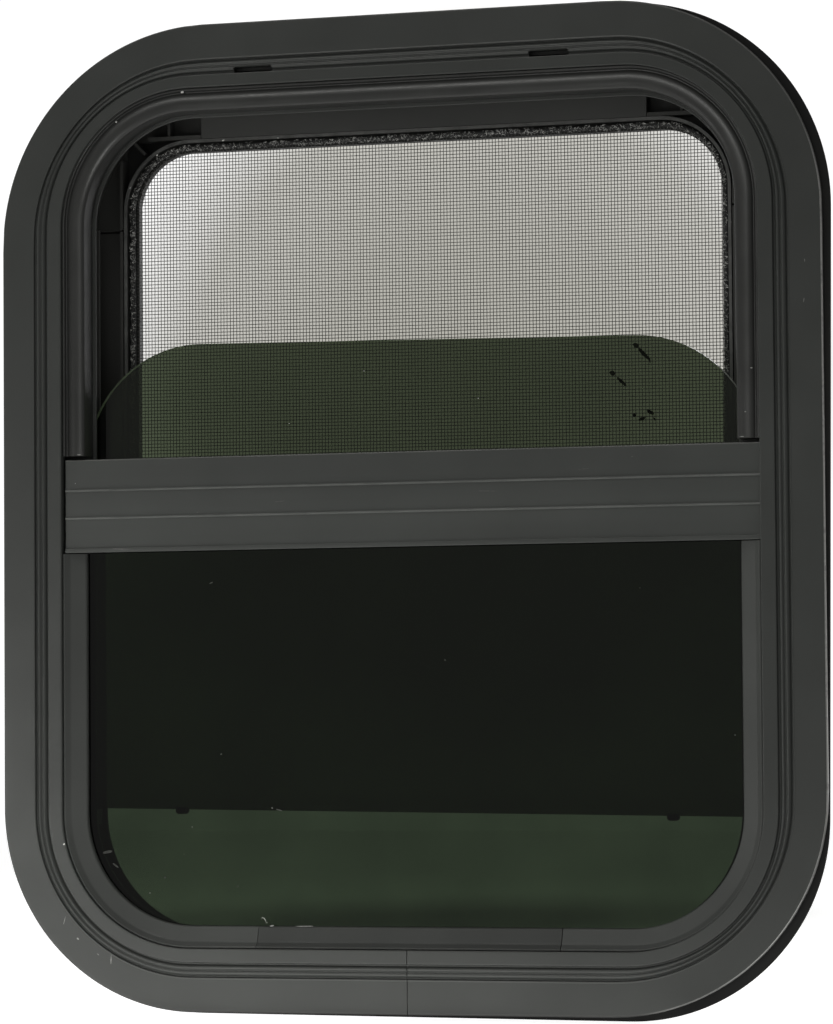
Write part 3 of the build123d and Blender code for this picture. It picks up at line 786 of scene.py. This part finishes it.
# the two small flakes are dust; the two long thin ones at the bulb's cut ends are painted highlights
flakes("dust_and_end_highlights_on_bulb", M_MARKS_AND_HIGHLIGHTS, "frame", [
    (164.6, -7.3, 60.8, 1.0, 0.8, 0), (161.6, -7.4, 41.2, 1.0, 0.8, 0), (160.4, -7.35, 30.1, 4.6, 0.5, 2), (-159.6, -7.3, 30.1, 4.0, 0.4, -2)], 13, 0.06)
flakes("chips_on_rail", M_SCUFF, "frame", [
    (-100.6, -6.0, 1.9, 1.6, 0.7, 30), (-138.5, -6.65, -14.6, 11.0, 0.5, -2), (108.7, -6.0, 22.5, 1.2, 0.5, 10),
    (-60.0, -6.0, 6.0, 7.0, 0.3, 4), (40.0, -6.0, 8.5, 11.0, 0.25, -2), (86.0, -6.0, 17.5, 6.0, 0.25, 5)], 6, 0.03)
flakes("scuffs_on_flange", M_MARKS_AND_HIGHLIGHTS, "frame", [
    (-144.0, -8.0, -206.0, 5.2, 0.55, 88), (-160.6, -8.0, -196.4, 1.7, 1.0, -40), (-167.3, -8.0, -188.0, 4.4, 0.45, 74),
    (-150.5, -8.0, -203.6, 1.4, 0.4, -40), (189.0, -8.0, 90.3, 2.4, 0.3, 80), (189.6, -8.0, 108.2, 1.8, 0.3, 95)], 7, 0.03)
flakes("dust_on_sash", M_DUST, "sash", [
    (-23.2, 8.0, 66.4, 0.6, 0.5, 0), (-60.0, 8.0, 43.0, 0.5, 0.4, 0), (32.0, 8.0, 52.0, 0.5, 0.4, 0)], 8, 0.05)
flakes("smears_on_sash", M_SMEAR, "sash", [
    (107.2, 8.0, 74.0, 3.6, 2.6, -40), (110.9, 8.0, 69.9, 9.4, 1.9, -47), (113.6, 8.0, 67.0, 3.0, 0.8, -80), (96.0, 8.0, 61.8, 3.6, 2.6, -20),
    (100.2, 8.0, 57.8, 7.6, 1.7, -42), (113.6, 8.0, 43.4, 4.4, 1.9, -30), (109.6, 8.0, 40.4, 4.6, 1.7, 20), (106.2, 8.0, 42.2, 2.4, 1.6, 0), (115.6, 8.0, 40.2, 2.0, 1.1, -60)], 9, 0.05)


def lint():
    """A short curled fibre caught on the bead."""
    path = [(-71.2, -186.9), (-70.6, -186.2), (-69.8, -186.4), (-69.3, -187.3), (-69.0, -188.3), (-68.3, -188.8), (-67.7, -188.3)]
    verts, faces = [], []
    for i, (x, z) in enumerate(path):
        y = -3.6 - 0.5 * math.sin(i * 1.3)
        for du, dv in ((-0.13, 0), (0, -0.13), (0.13, 0), (0, 0.13)):
            verts.append((x + du * 0.7, y + dv, z + du * 0.7))
    for i in range(len(path) - 1):
        for j in range(4):
            m = (j + 1) % 4
            faces.append((4 * i + j, 4 * i + m, 4 * i + 4 + m, 4 * i + 4 + j))
    n = 4 * (len(path) - 1)
    faces += [(3, 2, 1, 0), (n, n + 1, n + 2, n + 3)]
    make("lint_on_bead", verts, faces, M_DUST, "frame", 60)


lint()

# ------------------------------------------------------------------ stage
def stage_plane(name, corners, mat):
    me = bpy.data.meshes.new(name)
    me.from_pydata(corners, [], [(0, 1, 2, 3)])
    me.materials.append(mat)
    o = bpy.data.objects.new(name, me)
    bpy.context.collection.objects.link(o)
    return o


def floor_mat():
    """Pale floor sheet that glows, dim far in front and brightest near the window, with a painted shadow patch behind
    the window.
    """
    m, t, b = new_mat("pale_floor_painted_glow")
    vec = coords(t)
    t.links.new(ramp(t, noise(t, vec, 3.0), [(0.3, 0.80), (0.7, 0.84)]), b.inputs["Base Color"])
    b.inputs["Roughness"].default_value = 0.8
    b.inputs["Specular IOR Level"].default_value = 0.1
    sep = t.nodes.new("ShaderNodeSeparateXYZ")
    t.links.new(vec, sep.inputs[0])
    # painted light: the floor glows, dim far in front, brightest near the window, a little less far behind
    along = math_node(t, "MULTIPLY_ADD", sep.outputs[1], 0.25)
    along.node.inputs[2].default_value = 0.125
    painted_glow = ramp(t, along, [(0.0375, 0.2), (0.1125, 1.0), (0.34, 1.0), (0.62, 0.62), (1.0, 0.58)])
    # painted shadow: a soft dark patch on the floor behind the window
    mp = t.nodes.new("ShaderNodeMapping")
    mp.inputs["Location"].default_value = (0.87, -2.0, 0.0)
    mp.inputs["Scale"].default_value = (3.0, 2.0, 0.0)
    t.links.new(vec, mp.inputs["Vector"])
    g = t.nodes.new("ShaderNodeTexGradient")
    g.gradient_type = "SPHERICAL"
    t.links.new(mp.outputs["Vector"], g.inputs["Vector"])
    painted_shadow = ramp(t, g.outputs["Fac"], [(0.0, 0.0), (0.75, 0.95)])
    t.links.new(mix(t, painted_shadow, painted_glow, (0.0, 0.0, 0.0)), b.inputs["Emission Color"])
    b.inputs["Emission Strength"].default_value = 0.85
    return m


def backdrop_mat():
    """Glowing white sheet with a painted shadow of the window, softly greyer in the middle."""
    m = bpy.data.materials.new("white_backdrop_painted_shadow")
    m.use_nodes = True
    t = m.node_tree
    t.nodes.clear()
    out = t.nodes.new("ShaderNodeOutputMaterial")
    em = t.nodes.new("ShaderNodeEmission")
    c = t.nodes.new("ShaderNodeTexCoord")
    mp = t.nodes.new("ShaderNodeMapping")
    mp.inputs["Location"].default_value = (1.975, 0, -0.663)
    mp.inputs["Scale"].default_value = (1.9, 0.0, 1.95)
    t.links.new(c.outputs["Object"], mp.inputs["Vector"])
    g = t.nodes.new("ShaderNodeTexGradient")
    g.gradient_type = "SPHERICAL"
    t.links.new(mp.outputs["Vector"], g.inputs["Vector"])
    # painted shadow: warm grey patch behind the window, fading to white
    col = ramp(t, g.outputs["Fac"], [(0.0, (1.0, 1.0, 1.0)), (0.28, (0.550, 0.541, 0.502)), (0.60, (0.460, 0.451, 0.409)), (1.0, (0.425, 0.416, 0.372))])
    t.links.new(col, em.inputs["Color"])
    em.inputs["Strength"].default_value = 1.08
    t.links.new(em.outputs[0], out.inputs[0])
    return m


FLOOR_Z = -0.2328
floor = stage_plane("floor", [(-6, -6, FLOOR_Z), (6, -6, FLOOR_Z), (6, 3.6, FLOOR_Z), (-6, 3.6, FLOOR_Z)], floor_mat())
floor.visible_glossy = False
stage_plane("backdrop", [(-7, 3.5, -0.6), (7, 3.5, -0.6), (7, 3.5, 5.0), (-7, 3.5, 5.0)], backdrop_mat())


def surround(radius=9.0, n=48, m=16):
    """White paper all round, beyond the floor's edge."""
    v, f = [], []
    for j in range(m + 1):
        a = math.radians(-30 + 118.0 * j / m)
        for i in range(n):
            b = 2 * math.pi * i / n
            v.append((radius * math.cos(a) * math.cos(b), radius * math.cos(a) * math.sin(b), radius * math.sin(a)))
    for j in range(m):
        for i in range(n):
            k = (i + 1) % n
            f.append((j * n + i, j * n + k, (j + 1) * n + k, (j + 1) * n + i))
    mt = bpy.data.materials.new("white_surround")
    mt.use_nodes = True
    t = mt.node_tree
    t.nodes.clear()
    out = t.nodes.new("ShaderNodeOutputMaterial")
    em = t.nodes.new("ShaderNodeEmission")
    t.links.new(ramp(t, noise(t, coords(t), 0.4), [(0.3, 0.98), (0.7, 1.0)]), em.inputs["Color"])
    em.inputs["Strength"].default_value = 1.05
    t.links.new(em.outputs[0], out.inputs[0])
    me = bpy.data.meshes.new("surround")
    me.from_pydata(v, [], f)
    me.materials.append(mt)
    o = bpy.data.objects.new("surround", me)
    bpy.context.collection.objects.link(o)
    o.visible_diffuse = False
    o.visible_glossy = False
    o.visible_shadow = False
    return o


surround()

world = bpy.data.worlds.new("studio")
bpy.context.scene.world = world
world.use_nodes = True
bg = world.node_tree.nodes["Background"]
bg.inputs[0].default_value = (1.0, 1.0, 0.965, 1)
bg.inputs[1].default_value = 0.22


def area(name, loc, target, size, power, color=(1, 1, 0.965)):
    d = bpy.data.lights.new(name, "AREA")
    d.shape = "RECTANGLE"
    d.size, d.size_y = size
    d.energy = power
    d.color = color
    o = bpy.data.objects.new(name, d)
    bpy.context.collection.objects.link(o)
    o.location = loc
    o.rotation_euler = (Vector(target) - Vector(loc)).to_track_quat("-Z", "Y").to_euler()
    o.visible_camera = False
    return o


RIG = [
    ("key_mid", (-0.38, -1.10, 1.50), (0, 0, 0.05), (1.4, 0.5), 10.2),
    ("low_a", (-0.71, -0.85, -0.15), (-0.1, 0, -0.15), (0.25, 0.22), 0.88),
    ("low_c", (-0.50, -0.45, -0.17), (-0.1, 0, -0.18), (0.2, 0.12), 0.20),
    ("left_side", (-1.8, -0.1, 0.3), (0, 0, 0), (0.8, 0.8), 2.05),
    ("floor_panel", (-0.10, -0.24, FLOOR_Z + 0.002), (-0.10, -0.24, 1.0), (0.7, 0.42), 0.69),
    ("floor_strip", (-0.12, -0.10, FLOOR_Z + 0.004), (-0.12, -0.10, 1.0), (0.34, 0.15), 0.105),
    ("floor_near", (-0.05, -0.026, FLOOR_Z + 0.0006), (-0.05, -0.026, 1.0), (0.36, 0.03), 0.045),
    ("rim_side", (1.6, 0.22, 0.05), (0.2, 0, 0.0), (0.6, 0.6), 0.9),
]
for name, loc, target, size, power in RIG:
    area(name, loc, target, size, power)
only = bpy.data.collections.new("bulb_lit")
only.objects.link(o_bulb)
for glint in (area("bulb_bar", (-0.32, -1.27, 0.88), (0.0, 0.0, 0.15), (1.1, 0.14), 6.0),
              area("bulb_glint_left", (0.155, -0.78, -0.165), (-0.15, 0.0, 0.165), (0.22, 0.12), 1.8),
              area("bulb_glint_right", (0.33, -1.30, 0.62), (0.15, 0.0, 0.17), (0.3, 0.3), 2.4)):
    glint.light_linking.receiver_collection = only
rest = bpy.data.collections.new("all_but_bulb")
rest.objects.link(o_bulb)
bpy.data.objects["key_mid"].light_linking.receiver_collection = rest
rest.collection_objects[0].light_linking.link_state = "EXCLUDE"

# ------------------------------------------------------------------ camera
cam = bpy.data.cameras.new("camera")
cam.sensor_fit = "VERTICAL"
cam.sensor_height = 36.0
cam.lens = 4417.45 / 1024.0 * 36.0
cam.shift_x = -1.32 / 1024.0
cam.shift_y = 3.66 / 1024.0
cam.clip_end = 50.0
cam.clip_start = 0.05
co = bpy.data.objects.new("camera", cam)
bpy.context.collection.objects.link(co)
right_v = Vector((0.95305968, 0.30269369, -0.00733378))
up_v = Vector((0.02134019, -0.04299111, 0.99884752))
fwd = Vector((-0.30202956, 0.95211779, 0.04743264))
mat = Matrix((right_v, up_v, -fwd)).transposed().to_4x4()
mat.translation = Vector((0.61823235, -1.93313243, -0.09806522))
co.matrix_world = mat
bpy.context.scene.camera = co
bpy.context.scene.view_settings.view_transform = "Standard"
bpy.context.scene.view_settings.look = "None"
